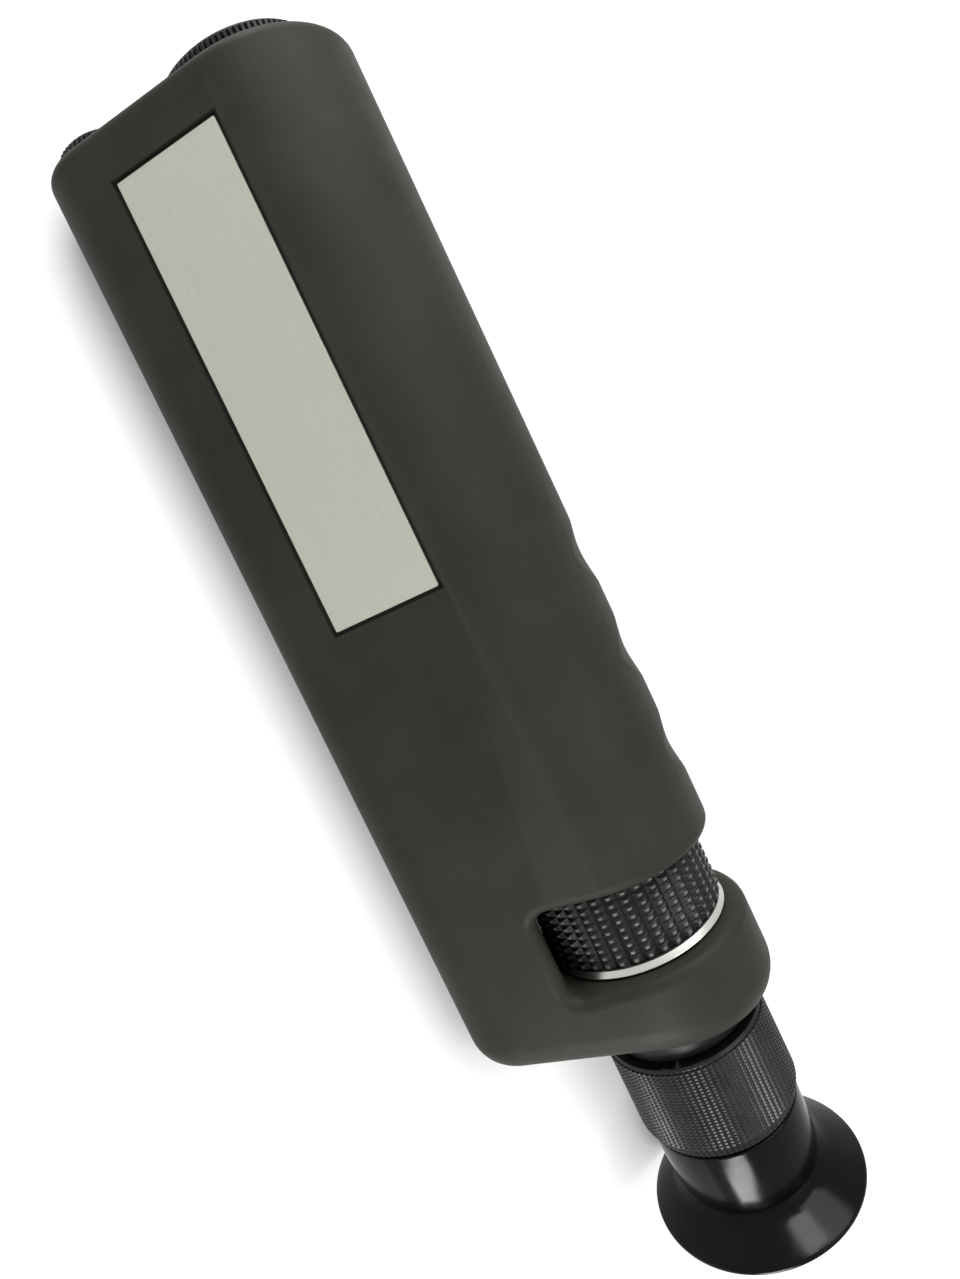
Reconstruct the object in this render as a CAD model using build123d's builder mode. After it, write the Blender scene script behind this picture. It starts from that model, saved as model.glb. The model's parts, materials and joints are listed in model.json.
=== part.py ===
from build123d import *
from math import asin, cos, pi, radians, sin, tan
import os

# A hand-held microscope for looking at the ends of optical fibres.
# It lies on the flat of its body that faces away from the plate. X runs along the optical axis
# towards the eyepiece and Z is up. Lengths are in millimetres, and distances along the axis are
# counted from the body's objective end.

# Body: a big lobe round the optics and a small one round the cells
lobe_radius = 17.6
battery_lobe_radius = 8.8
web_width = 6.3
end_block = 13.2
end_slant = 9.0
cover_wall = 2.0
cover_gap = 0.05
objective_end_round = 1.5
housing_end_round = 2.0
eyepiece_end_round = 5.5

# Window for the focus ring, cut across the big lobe
window_to_end = 13.7
window_length = 14.7
window_floor_wall = 2.9
window_slant = 4.0
window_corner = 2.0
window_round = 1.8
window_edge_angle = 18.0

# Finger scallops round the outer side of the big lobe
scallops_to_window = 3.8
scallop_pitch = 16.5
scallop_count = 3
scallop_depth = 0.8
scallop_fade = 4.0
scallop_reach = 60.0
scallop_crest_gap = 0.08

# Plate in its recess on the upper flat
plate_start = 8.1
plate_length = 70.0
plate_width = 17.0
plate_thickness = 0.5
plate_edge = 1.0
plate_sink = 0.2
plate_margin = 0.6

# Clearances
seat_gap = 0.02
running_gap = 0.08
free_gap = 0.3

# Optical tube, held by the two housing shells
tube_radius = 12.0
tube_wall = 1.4
tube_start = 6.5
tube_to_end = 8.7
tube_collar_stand = 1.0
tube_collar_start = 60.0
tube_collar_length = 3.0

# Focus ring and its helical groove
focus_wall = 2.8
focus_side_gap = 1.2
focus_length = 13.1
focus_knurl_count = 48
knurl_depth = 0.5
knurl_share = 0.8
trim_width = 1.0
trim_stand = 0.1
focus_travel = 1.5
focus_turn = 120.0
groove_width = 2.0
groove_depth = 1.1
groove_margin = 20.0
pin_radius = 0.9
pin_inset = 0.2

# Focus carrier and objective
carrier_start = 34.0
carrier_past_pin = 3.25
carrier_wall = 1.3
carrier_land = 12.0
carrier_relief = 0.4
objective_front = 8.9
nose_radius = 4.2
nose_length = 5.1
objective_radius = 8.0
objective_bore = 6.5
objective_spigot = 5.0
objective_collar = 3.0
objective_taper = 1.5
nose_bevel = 0.6
front_lens_radius = 2.6
front_lens_thickness = 1.6
front_lens_inset = 0.5
lens_lip = 0.5
rear_lens_seat = 28.0
rear_lens_thickness = 3.0
ring_thickness = 1.4
ring_wall = 1.2

# Adapter at the objective end
nut_rim = 1.8
nut_stand = 3.8
nut_reach = 5.0
nut_wall = 1.4
nut_knurl_count = 60
nut_bevel = 0.4
thread_step = 0.5
socket_start = 0.5
socket_spigot = 5.5
hub_radius = 6.0
adapter_tip_radius = 3.2
adapter_tip_reach = 5.5
adapter_tip_taper = 1.0
adapter_flange_step = 0.5
ferrule_bore = 1.26
adapter_spigot_end = 4.0
socket_wall = 2.1
board_start = 10.6
board_thickness = 1.0
board_margin = 0.7
lamp_radius = 1.2
lamp_height = 2.0
lamp_round = 0.9
lamp_margin = 0.8
lamp_count = 3

# Eyepiece
barrel_wall = 1.0
barrel_spigot = 6.5
field_lens_inset = 2.0
field_lens_lip = 1.0
flange_stand = 1.0
flange_length = 3.0
neck_step = 0.4
sleeve_neck = 3.3
sleeve_length = 16.0
sleeve_wall = 1.5
sleeve_lip = 1.8
sleeve_bevel = 1.8
sleeve_bevel_depth = 0.8
sleeve_chamfer = 0.5
sleeve_knurl_count = 60
fine_knurl_depth = 0.3
journal_step = 0.2
barrel_thread_step = 1.2
barrel_thread_length = 9.1
snap_ring_thickness = 0.8
snap_ring_inset = 0.2
key_width = 2.0
key_height = 0.7
key_length = 10.0
cup_neck_stand = 0.6
cup_neck_taper = 0.4
cup_neck_length = 10.4
cup_step = 0.3
cup_flare_length = 5.1
cup_wall = 1.2
cup_eye_wall = 2.0
cup_rim_land = 0.6
eye_lens_lip = 1.4
lens_thickness = 4.0
lens_crown = 0.8
dioptre_travel = 2.25

# Cells, their bore and cap
cell_radius = 5.25
cell_length = 44.5
cell_count = 3
cell_nub_radius = 1.9
cell_nub_height = 1.2
cell_start = 10.0
battery_bore = 5.4
cap_radius = 6.2
cap_stand = 2.4
cap_knurl_count = 40
plug_radius = 5.3
plug_length = 6.0
cap_spring_radius = 3.4
cap_wire_radius = 0.35
cap_spring_turns = 3
contact_radius = 4.0
contact_thickness = 0.6
seal_radius = 0.38
seal_stand = 0.07
seal_inset = 1.0
cap_floor = 2.2

# Power button on the lower flat
board_wall = 1.2
button_radius = 3.9
button_round = 0.5
button_sink = 0.8
button_flange_radius = 4.6
button_flange = 0.8
button_travel = 0.8
stem_radius = 1.4
stem_length = 1.6
stem_engagement = 0.2
dish_radius = 6.4
dish_taper = 30
switch_size = 4.6
switch_height = 2.4
switch_board_length = 12.0
switch_board_width = 6.4
switch_board_thickness = 0.8

# Housing screws
screw_radius = 1.0
screw_head_radius = 1.9
screw_head_height = 1.4
screw_inset = 20.0
screw_count = 4

# Places worked out from the sizes
tube_bore = tube_radius - tube_wall
tube_collar_radius = tube_radius + tube_collar_stand
focus_radius = tube_radius + focus_wall
carrier_bore = tube_bore - carrier_wall
thread_radius = tube_radius - thread_step
nut_radius = thread_radius + nut_rim
adapter_flange_radius = thread_radius - adapter_flange_step
socket_bore = tube_bore - socket_wall
lamp_circle = socket_bore - lamp_radius - lamp_margin
board_hole = lamp_circle - lamp_radius - board_margin
barrel_bore = tube_bore - barrel_wall
flange_radius = tube_radius + flange_stand
neck_radius = tube_radius - neck_step
cup_tube_radius = tube_radius
sleeve_radius = cup_tube_radius + sleeve_wall
barrel_thread_radius = cup_tube_radius - barrel_thread_step
journal_radius = barrel_thread_radius + journal_step
cup_eye_bore = cup_tube_radius - cup_eye_wall
cup_neck_radius = cup_tube_radius + cup_neck_stand
cup_step_radius = cup_neck_radius - cup_neck_taper
cup_rim_radius = lobe_radius
lobe_spacing = tube_radius + web_width + battery_bore
body_length = cell_start + cell_count * cell_length + end_block
flat_tilt = asin((lobe_radius - battery_lobe_radius) / lobe_spacing)
lobe_offset = lobe_spacing * cos(flat_tilt)
body_width = lobe_offset + lobe_radius + battery_lobe_radius
optic_y = body_width / 2 - lobe_radius
battery_y = optic_y - lobe_offset
window_end = body_length - window_to_end
window_start = window_end - window_length
window_depth = lobe_spacing - battery_bore - window_floor_wall
scallop_start = window_start - scallops_to_window - scallop_pitch * scallop_count
focus_start = window_start + focus_side_gap
focus_end = focus_start + focus_length
pin_distance = (focus_start + focus_end - trim_width) / 2
tube_end = body_length - tube_to_end
carrier_end = pin_distance + carrier_past_pin
sleeve_start = body_length + sleeve_neck
sleeve_end = sleeve_start + sleeve_length
cup_shoulder = sleeve_end + free_gap
cup_step_distance = cup_shoulder + cup_neck_length
cup_rim = cup_step_distance + cup_flare_length
reach = 2 * lobe_radius
button_distance = window_start / 2
button_across = lobe_offset - battery_bore - switch_board_width / 2 - board_wall
housing_inset = cover_wall + cover_gap

toward_outer = Vector(0, cos(flat_tilt), sin(flat_tilt))
toward_plate = Vector(0, -sin(flat_tilt), cos(flat_tilt))
plate_normal = Vector(0, -sin(2 * flat_tilt), cos(2 * flat_tilt))


def station(distance):
    """X of a distance from the body's objective end, with the whole length centred on X = 0."""
    return distance - (cup_rim - adapter_tip_reach) / 2


def across(distance, y=0.0, z=0.0):
    """Plane square to the optical axis: local x is Y and local y is Z."""
    return Plane(origin=(station(distance), y, z), x_dir=(0, 1, 0), z_dir=(1, 0, 0))


def across_optics(distance):
    return across(distance, optic_y, lobe_radius)


def across_cells(distance):
    return across(distance, battery_y, battery_lobe_radius)


# Lengthwise planes: local x is X, local y points away from the cells, the normal points to the plate
optic_section = Plane(origin=(0, optic_y, lobe_radius), x_dir=(1, 0, 0), z_dir=toward_plate)
battery_section = Plane(origin=(0, battery_y, battery_lobe_radius), x_dir=(1, 0, 0), z_dir=toward_plate)
optic_axis = Axis((0, optic_y, lobe_radius), (1, 0, 0))
battery_axis = Axis((0, battery_y, battery_lobe_radius), (1, 0, 0))
end_normal = Vector(cos(radians(end_slant)), 0, 0) - toward_outer * sin(radians(end_slant))
eyepiece_end = Plane(origin=(station(body_length), optic_y, lobe_radius), z_dir=end_normal)
lower_flat = Plane(origin=(0, optic_y, 0), x_dir=(1, 0, 0), z_dir=(0, 0, 1))
plate_plane = Plane(
    origin=Vector(0, optic_y, lobe_radius) + plate_normal * lobe_radius,
    x_dir=(1, 0, 0),
    z_dir=plate_normal,
)


def turned_outline(*points):
    """Closed outline of a turned piece, from points of distance and radius."""
    Polygon(*[(station(distance), radius) for distance, radius in points], align=None)


def ring_outline(outer, inner):
    Circle(outer)
    Circle(inner, mode=Mode.SUBTRACT)


def knurled_outline(radius, count, depth):
    """Circle with V-shaped flutes side by side, each as wide as knurl_share of their pitch."""
    width = knurl_share * 2 * pi * radius / count
    flute = [(depth, width), (-depth, 0), (depth, -width)]
    Circle(radius)
    with PolarLocations(radius, count):
        Polygon(*flute, align=None, mode=Mode.SUBTRACT)


# Wavy line of the finger scallops and the corners outside it, seen from the centre they fade from
scallop_crest = lobe_radius + scallop_fade + scallop_crest_gap
scallop_valley = lobe_radius + scallop_fade - scallop_depth
scallop_points = [(station(scallop_start), scallop_crest)]
for number in range(scallop_count):
    scallop_begin = scallop_start + scallop_pitch * number
    scallop_points.append((station(scallop_begin + scallop_pitch / 2), scallop_valley))
    scallop_points.append((station(scallop_begin + scallop_pitch), scallop_crest))
scallop_outside = [
    (station(scallop_start), scallop_crest + scallop_fade),
    (station(scallop_start + scallop_pitch * scallop_count), scallop_crest + scallop_fade),
]


def body_form(inset, dressed=False):
    """Outer form of the body, moved inwards by inset; dressed adds the scallops and soft window edges."""
    with BuildPart() as form:
        with BuildSketch(across(inset)):
            with Locations((optic_y, lobe_radius)):
                Circle(lobe_radius - inset)
            with Locations((battery_y, battery_lobe_radius)):
                Circle(battery_lobe_radius - inset)
            make_hull()
        extrude(amount=body_length + reach)
        split(bisect_by=eyepiece_end.offset(-inset), keep=Keep.BOTTOM)
        fillet(form.faces().sort_by(Axis.X)[-1].edges(), radius=eyepiece_end_round - inset)
        objective_round = objective_end_round if dressed else housing_end_round
        fillet(form.faces().sort_by(Axis.X)[0].edges(), radius=objective_round)
        if dressed:
            fade_centre = optic_axis.position - toward_outer * scallop_fade
            start_direction = toward_plate.rotate(Axis.X, -scallop_reach)
            with BuildSketch(Plane(origin=fade_centre, x_dir=(1, 0, 0), z_dir=start_direction)):
                with BuildLine():
                    Spline(*scallop_points, tangents=[(1, 0)] * len(scallop_points))
                    Polyline(scallop_points[0], *scallop_outside, scallop_points[-1])
                make_face()
            revolve(
                axis=Axis(fade_centre, (1, 0, 0)),
                revolution_arc=2 * scallop_reach,
                mode=Mode.SUBTRACT,
            )
        with BuildSketch(optic_section):
            window_outline(inset)
        extrude(amount=reach, both=True, mode=Mode.SUBTRACT)
        if dressed:
            fillet(window_edges(form), radius=window_round)
    return form.part


def window_outline(inset):
    """Window seen along the direction from plate to lower flat, grown into the body by inset."""
    floor = -(window_depth + inset)
    near = station(window_start - inset)
    far = station(window_end + inset)
    slanted = near + (reach - floor) * tan(radians(window_slant))
    Polygon((near, floor), (far, floor), (far, reach), (slanted, reach), align=None)
    fillet(vertices().group_by(Axis.Y)[0], radius=window_corner + inset)


def window_edges(form):
    """Edges where the window breaks through the outside, which run across toward_plate."""
    low = station(window_start) - window_round
    high = station(window_end) + window_round
    found = []
    for edge in form.edges():
        extent = edge.bounding_box()
        across_plate = abs((edge % 0.5).dot(toward_plate)) < cos(radians(window_edge_angle))
        if low < extent.min.X and extent.max.X < high and across_plate:
            found.append(edge)
    return found


# Helix that the focus groove follows; the guide pin stands at its middle at rest
groove_turn = 2 * (focus_turn + groove_margin)
focus_pitch = focus_travel * 360 / focus_turn
groove_height = focus_pitch * groove_turn / 360
groove_centre = Vector(station(pin_distance) - groove_height / 2, optic_y, lobe_radius)
groove_path = Helix(
    pitch=focus_pitch,
    height=groove_height,
    radius=tube_radius + running_gap,
    center=groove_centre,
    direction=(1, 0, 0),
)
groove_start = Plane(
    origin=groove_path @ 0,
    x_dir=(groove_path @ 0) - groove_centre,
    z_dir=groove_path % 0,
)
pin_centre = Vector(station(pin_distance), optic_y, lobe_radius)
pin_direction = ((groove_path @ 0.5) - pin_centre).normalized()
pin_plane = Plane(origin=pin_centre, x_dir=(1, 0, 0), z_dir=pin_direction)

# Rubber grip cover with its end openings, plate recess and button hole
with BuildPart() as grip_cover:
    add(body_form(0, dressed=True))
    add(body_form(cover_wall), mode=Mode.SUBTRACT)
    with BuildSketch(across_optics(focus_start - free_gap)):
        Circle(focus_radius + free_gap)
    extrude(amount=window_end - focus_start + free_gap, mode=Mode.SUBTRACT)
    with BuildSketch(across_optics(0)):
        Circle(nut_radius + free_gap)
    extrude(amount=body_length / 2, both=True, mode=Mode.SUBTRACT)
    with BuildSketch(across_cells(0)):
        Circle(cap_radius + free_gap)
    extrude(amount=body_length / 2, both=True, mode=Mode.SUBTRACT)
    with BuildSketch(across_optics(body_length / 2)):
        Circle(tube_radius + running_gap)
    extrude(amount=body_length, mode=Mode.SUBTRACT)
    with BuildSketch(plate_plane):
        with Locations((station(plate_start + plate_length / 2), -plate_edge - plate_width / 2)):
            Rectangle(plate_length + 2 * plate_margin, plate_width + 2 * plate_margin)
    extrude(amount=-(plate_thickness + plate_sink), mode=Mode.SUBTRACT)
    with BuildSketch(lower_flat):
        with Locations((station(button_distance), -button_across)):
            Circle(button_radius + free_gap)
    extrude(amount=cover_wall + cover_gap, mode=Mode.SUBTRACT)
    with BuildSketch(lower_flat):
        with Locations((station(button_distance), -button_across)):
            Circle(dish_radius)
    extrude(amount=button_sink, taper=dish_taper, mode=Mode.SUBTRACT)

# Plate, bare
with BuildPart() as name_plate:
    with BuildSketch(plate_plane.offset(-plate_sink)):
        with Locations((station(plate_start + plate_length / 2), -plate_edge - plate_width / 2)):
            Rectangle(plate_length, plate_width)
    extrude(amount=-plate_thickness)

# Screw places across the web between the two bores
web_centre = -(tube_radius + lobe_spacing - battery_bore) / 2
web_half_depth = (lobe_radius - housing_inset + web_centre * sin(flat_tilt)) / cos(flat_tilt)
screw_seat = web_half_depth - 2 * screw_head_height
screw_tip = web_half_depth - screw_head_height
switch_base = cover_wall + cover_gap + button_flange + button_travel + free_gap
switch_floor = cover_wall + cover_gap + running_gap + button_flange + stem_length - stem_engagement
board_base = switch_floor + switch_height
pocket_top = board_base + switch_board_thickness + free_gap


def screw_places():
    pitch = (window_start - 2 * screw_inset) / (screw_count - 1)
    distances = [screw_inset + pitch * number for number in range(screw_count)]
    return Locations(*[(station(distance), web_centre) for distance in distances])


# Both housing shells before they are parted
with BuildPart() as housing:
    add(body_form(housing_inset))
    with BuildSketch(across_optics(focus_start - free_gap)):
        Circle(focus_radius + free_gap)
    extrude(amount=window_end - focus_start + free_gap, mode=Mode.SUBTRACT)
    with BuildSketch(across_optics(0)):
        Circle(tube_radius + seat_gap)
    extrude(amount=body_length * 1.5, mode=Mode.SUBTRACT)
    with BuildSketch(across_optics(0)):
        Circle(nut_radius + free_gap)
    extrude(amount=nut_reach + 2 * free_gap, mode=Mode.SUBTRACT)
    with BuildSketch(across_optics(tube_collar_start - seat_gap)):
        Circle(tube_collar_radius + seat_gap)
    extrude(amount=tube_collar_length + 2 * seat_gap, mode=Mode.SUBTRACT)
    with BuildSketch(across_optics(tube_end)):
        Circle(flange_radius + seat_gap)
    extrude(amount=flange_length + seat_gap, mode=Mode.SUBTRACT)
    with BuildSketch(across_cells(0)):
        Circle(battery_bore)
    extrude(
        amount=cell_start + cell_count * cell_length + contact_thickness + seat_gap,
        mode=Mode.SUBTRACT,
    )
    with BuildSketch(optic_section):
        with screw_places():
            Circle(screw_radius + seat_gap)
    extrude(amount=screw_tip + seat_gap, both=True, mode=Mode.SUBTRACT)
    with BuildSketch(optic_section.offset(-screw_seat)):
        with screw_places():
            Circle(screw_head_radius + seat_gap)
    extrude(amount=-reach, mode=Mode.SUBTRACT)
    with BuildSketch(lower_flat):
        with Locations((station(button_distance), -button_across)):
            Circle(button_flange_radius + free_gap)
    extrude(amount=switch_base, mode=Mode.SUBTRACT)
    with BuildSketch(lower_flat):
        with Locations((station(button_distance), -button_across)):
            Rectangle(switch_board_length + seat_gap, switch_board_width + seat_gap)
    extrude(amount=pocket_top, mode=Mode.SUBTRACT)

with BuildPart() as housing_upper:
    add(housing.part)
    split(bisect_by=optic_section, keep=Keep.TOP)

with BuildPart() as housing_lower:
    add(housing.part)
    split(bisect_by=optic_section, keep=Keep.BOTTOM)

with BuildPart() as housing_screws:
    with BuildSketch(optic_section.offset(-screw_seat)):
        with screw_places():
            Circle(screw_radius)
    extrude(amount=screw_seat + screw_tip)
    with BuildSketch(optic_section.offset(-screw_seat)):
        with screw_places():
            Circle(screw_head_radius)
    extrude(amount=-screw_head_height)

# Optical tube with its clamping collar and the slot for the guide pin
with BuildPart() as optical_tube:
    with BuildSketch(across_optics(tube_start)):
        ring_outline(tube_radius, tube_bore)
    extrude(amount=tube_end - tube_start)
    with BuildSketch(across_optics(tube_collar_start)):
        ring_outline(tube_collar_radius, tube_bore)
    extrude(amount=tube_collar_length)
    with BuildSketch(pin_plane):
        SlotCenterToCenter(2 * focus_travel + free_gap, groove_width)
    extrude(amount=reach, mode=Mode.SUBTRACT)

# Socket that carries the adapter's thread
with BuildPart() as adapter_socket:
    with BuildSketch(optic_section):
        turned_outline(
            (socket_start, hub_radius + running_gap),
            (socket_start, thread_radius),
            (tube_start, thread_radius),
            (tube_start, tube_bore - seat_gap),
            (tube_start + socket_spigot, tube_bore - seat_gap),
            (tube_start + socket_spigot, socket_bore),
            (adapter_spigot_end + 2 * free_gap, socket_bore),
            (adapter_spigot_end + 2 * free_gap, hub_radius + running_gap),
        )
    revolve(axis=optic_axis)

# Adapter that takes the ferrule; it slides with the nut but doesn't turn
with BuildPart() as ferrule_adapter:
    with BuildSketch(optic_section):
        turned_outline(
            (-adapter_tip_reach, ferrule_bore),
            (-adapter_tip_reach, adapter_tip_radius),
            (-nut_stand, adapter_tip_radius + adapter_tip_taper),
            (-nut_stand, hub_radius),
            (-nut_stand + nut_wall + running_gap, hub_radius),
            (-nut_stand + nut_wall + running_gap, adapter_flange_radius),
            (socket_start - running_gap, adapter_flange_radius),
            (socket_start - running_gap, hub_radius),
            (adapter_spigot_end, hub_radius),
            (adapter_spigot_end, ferrule_bore),
        )
    revolve(axis=optic_axis)

with BuildPart() as adapter_nut:
    with BuildSketch(across_optics(-nut_stand)):
        knurled_outline(nut_radius, nut_knurl_count, knurl_depth)
    extrude(amount=nut_stand + nut_reach)
    with BuildSketch(across_optics(-nut_stand)):
        Circle(hub_radius + running_gap)
    extrude(amount=nut_wall, mode=Mode.SUBTRACT)
    with BuildSketch(across_optics(-nut_stand + nut_wall)):
        Circle(thread_radius + running_gap)
    extrude(amount=reach, mode=Mode.SUBTRACT)
    with BuildSketch(optic_section):
        turned_outline(
            (-nut_stand, 0),
            (-nut_stand, nut_radius - nut_bevel),
            (-nut_stand + nut_bevel, nut_radius),
            (nut_reach, nut_radius),
            (nut_reach, 0),
        )
    revolve(axis=optic_axis, mode=Mode.INTERSECT)

# Lamp board and lamps round the objective's nose
with BuildPart() as lamp_board:
    with BuildSketch(across_optics(board_start)):
        ring_outline(socket_bore - seat_gap, board_hole)
    extrude(amount=board_thickness)

with BuildPart() as lamps:
    with BuildSketch(across_optics(board_start)):
        with PolarLocations(lamp_circle, lamp_count):
            Circle(lamp_radius)
    extrude(amount=-lamp_height)
    fillet(lamps.faces().group_by(Axis.X)[0].edges(), radius=lamp_round)

# Objective
objective_flange = objective_front + nose_length
front_lens_seat = objective_front + front_lens_inset
front_lens_back = front_lens_seat + front_lens_thickness
collar_start = carrier_start - objective_collar
with BuildPart() as objective_barrel:
    with BuildSketch(optic_section):
        turned_outline(
            (objective_front, front_lens_radius - lens_lip),
            (objective_front, nose_radius - nose_bevel),
            (objective_front + nose_bevel, nose_radius),
            (objective_flange, nose_radius),
            (objective_flange + objective_taper, objective_radius),
            (collar_start, objective_radius),
            (collar_start, tube_bore - carrier_relief),
            (carrier_start, tube_bore - carrier_relief),
            (carrier_start, carrier_bore - seat_gap),
            (carrier_start + objective_spigot, carrier_bore - seat_gap),
            (carrier_start + objective_spigot, objective_bore),
            (rear_lens_seat, objective_bore),
            (rear_lens_seat, objective_bore - lens_lip),
            (objective_flange + objective_taper, front_lens_radius + free_gap),
            (front_lens_back, front_lens_radius + seat_gap),
            (front_lens_seat, front_lens_radius + seat_gap),
            (front_lens_seat, front_lens_radius - lens_lip),
        )
    revolve(axis=optic_axis)

with BuildPart() as front_lens:
    with BuildSketch(optic_section):
        turned_outline(
            (front_lens_seat, 0),
            (front_lens_seat, front_lens_radius),
            (front_lens_back, front_lens_radius),
            (front_lens_back, 0),
        )
    revolve(axis=optic_axis)


def lens_outline(start, radius, thickness):
    """Half section of a lens, flat at its start and domed at its end."""
    end = start + thickness
    dome = (radius**2 + lens_crown**2) / (2 * lens_crown)
    turned_outline((start, 0), (start, radius), (end, radius), (end, 0))
    with Locations((station(end) - dome, 0)):
        Circle(dome, mode=Mode.INTERSECT)


with BuildPart() as rear_lens:
    with BuildSketch(optic_section):
        lens_outline(rear_lens_seat, objective_bore - seat_gap, rear_lens_thickness)
    revolve(axis=optic_axis)

with BuildPart() as rear_lens_ring:
    with BuildSketch(across_optics(rear_lens_seat + rear_lens_thickness - lens_crown / 2)):
        ring_outline(objective_bore - seat_gap, objective_bore - ring_wall)
    extrude(amount=ring_thickness)

# Focus carrier, which slides in the optical tube, and its guide pin
with BuildPart() as focus_carrier:
    with BuildSketch(optic_section):
        turned_outline(
            (carrier_start, carrier_bore),
            (carrier_start, tube_bore - running_gap),
            (carrier_start + carrier_land, tube_bore - running_gap),
            (carrier_start + carrier_land, tube_bore - carrier_relief),
            (carrier_end - carrier_land, tube_bore - carrier_relief),
            (carrier_end - carrier_land, tube_bore - running_gap),
            (carrier_end, tube_bore - running_gap),
            (carrier_end, carrier_bore),
        )
    revolve(axis=optic_axis)
    with BuildSketch(pin_plane):
        Circle(pin_radius + seat_gap)
    extrude(amount=reach, mode=Mode.SUBTRACT)

with BuildPart() as guide_pin:
    with BuildSketch(pin_plane.offset(carrier_bore + pin_inset)):
        Circle(pin_radius)
    extrude(amount=tube_radius + running_gap + groove_depth - carrier_bore - 2 * pin_inset)

# Focus ring, turning on the optical tube, with the helical groove that drives the pin
with BuildPart() as focus_ring:
    with BuildSketch(across_optics(focus_start)):
        knurled_outline(focus_radius, focus_knurl_count, knurl_depth)
    extrude(amount=focus_length - trim_width)
    with BuildSketch(across_optics(focus_start)):
        Circle(tube_radius + running_gap)
    extrude(amount=focus_length, mode=Mode.SUBTRACT)
    with BuildSketch(groove_start):
        Rectangle(2 * groove_depth, groove_width)
    sweep(path=groove_path, is_frenet=True, mode=Mode.SUBTRACT)

with BuildPart() as focus_trim_ring:
    with BuildSketch(optic_section):
        turned_outline(
            (focus_end - trim_width, tube_radius + running_gap),
            (focus_end - trim_width, focus_radius + trim_stand),
            (focus_end - trim_width / 2, focus_radius + trim_stand),
            (focus_end, focus_radius - trim_width / 2),
            (focus_end, tube_radius + running_gap),
        )
    revolve(axis=optic_axis)

# Eyepiece barrel, clamped by the housing shells at its flange
journal_start = sleeve_start - free_gap
journal_end = sleeve_start + sleeve_lip + running_gap
thread_end = journal_end + snap_ring_thickness + barrel_thread_length
field_lens_seat = tube_end + field_lens_inset
field_lens_start = field_lens_seat - lens_thickness + lens_crown / 2
with BuildPart() as eyepiece_barrel:
    with BuildSketch(optic_section):
        turned_outline(
            (tube_end - barrel_spigot, barrel_bore),
            (tube_end - barrel_spigot, tube_bore - seat_gap),
            (tube_end, tube_bore - seat_gap),
            (tube_end, flange_radius),
            (tube_end + flange_length, flange_radius),
            (tube_end + flange_length, neck_radius),
            (journal_start, neck_radius),
            (journal_start, journal_radius),
            (journal_end, journal_radius),
            (journal_end, barrel_thread_radius),
            (thread_end, barrel_thread_radius),
            (thread_end, barrel_bore - field_lens_lip),
            (field_lens_seat, barrel_bore - field_lens_lip),
            (field_lens_seat, barrel_bore),
        )
    revolve(axis=optic_axis)

with BuildPart() as field_lens:
    with BuildSketch(optic_section):
        lens_outline(field_lens_start, barrel_bore - seat_gap, lens_thickness)
    revolve(axis=optic_axis)

with BuildPart() as field_lens_ring:
    with BuildSketch(across_optics(field_lens_start)):
        ring_outline(barrel_bore - seat_gap, barrel_bore - ring_wall)
    extrude(amount=-ring_thickness)

with BuildPart() as sleeve_snap_ring:
    with BuildSketch(across_optics(journal_end)):
        ring_outline(cup_tube_radius - snap_ring_inset, barrel_thread_radius + seat_gap)
    extrude(amount=snap_ring_thickness)

# Knurled eyepiece sleeve, captive on the barrel, with two keys that turn the eyecup
sleeve_bore = cup_tube_radius + running_gap
with BuildPart() as eyepiece_sleeve:
    with BuildSketch(across_optics(sleeve_start)):
        knurled_outline(sleeve_radius, sleeve_knurl_count, fine_knurl_depth)
    extrude(amount=sleeve_length)
    with BuildSketch(optic_section):
        turned_outline(
            (sleeve_start, journal_radius + running_gap),
            (sleeve_start, sleeve_radius - sleeve_chamfer),
            (sleeve_start + sleeve_chamfer, sleeve_radius),
            (sleeve_end - sleeve_bevel, sleeve_radius),
            (sleeve_end, sleeve_radius - sleeve_bevel_depth),
            (sleeve_end, sleeve_bore),
            (sleeve_start + sleeve_lip, sleeve_bore),
            (sleeve_start + sleeve_lip, journal_radius + running_gap),
        )
    revolve(axis=optic_axis, mode=Mode.INTERSECT)
    with BuildSketch(across_optics(journal_end + 2 * snap_ring_thickness)):
        with PolarLocations(sleeve_bore, 2):
            Rectangle(2 * key_height, key_width)
    extrude(amount=key_length)

# Eyecup, threaded on the barrel and keyed to the sleeve
cup_tube_start = journal_end + snap_ring_thickness + free_gap
lens_seat = thread_end + dioptre_travel + free_gap
eye_ring_start = lens_seat + lens_thickness - lens_crown / 2
keyway_depth = 2 * (cup_tube_radius - barrel_thread_radius + running_gap)
keyway_end = journal_end + 2 * snap_ring_thickness + key_length + free_gap
with BuildPart() as eyecup:
    with BuildSketch(optic_section):
        turned_outline(
            (cup_tube_start, barrel_thread_radius + running_gap),
            (cup_tube_start, cup_tube_radius),
            (cup_shoulder, cup_tube_radius),
            (cup_shoulder, cup_neck_radius),
            (cup_step_distance, cup_step_radius),
            (cup_step_distance, cup_step_radius - cup_step),
            (cup_rim - cup_rim_land, cup_rim_radius),
            (cup_rim, cup_rim_radius),
            (cup_rim, cup_rim_radius - cup_wall),
            (cup_step_distance, cup_eye_bore),
            (lens_seat, cup_eye_bore),
            (lens_seat, cup_eye_bore - eye_lens_lip),
            (thread_end + free_gap, cup_eye_bore - eye_lens_lip),
            (thread_end + free_gap, barrel_thread_radius + running_gap),
        )
    revolve(axis=optic_axis)
    with BuildSketch(across_optics(cup_tube_start)):
        with PolarLocations(cup_tube_radius, 2):
            Rectangle(keyway_depth, key_width + 2 * running_gap)
    extrude(amount=keyway_end - cup_tube_start, mode=Mode.SUBTRACT)

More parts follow.
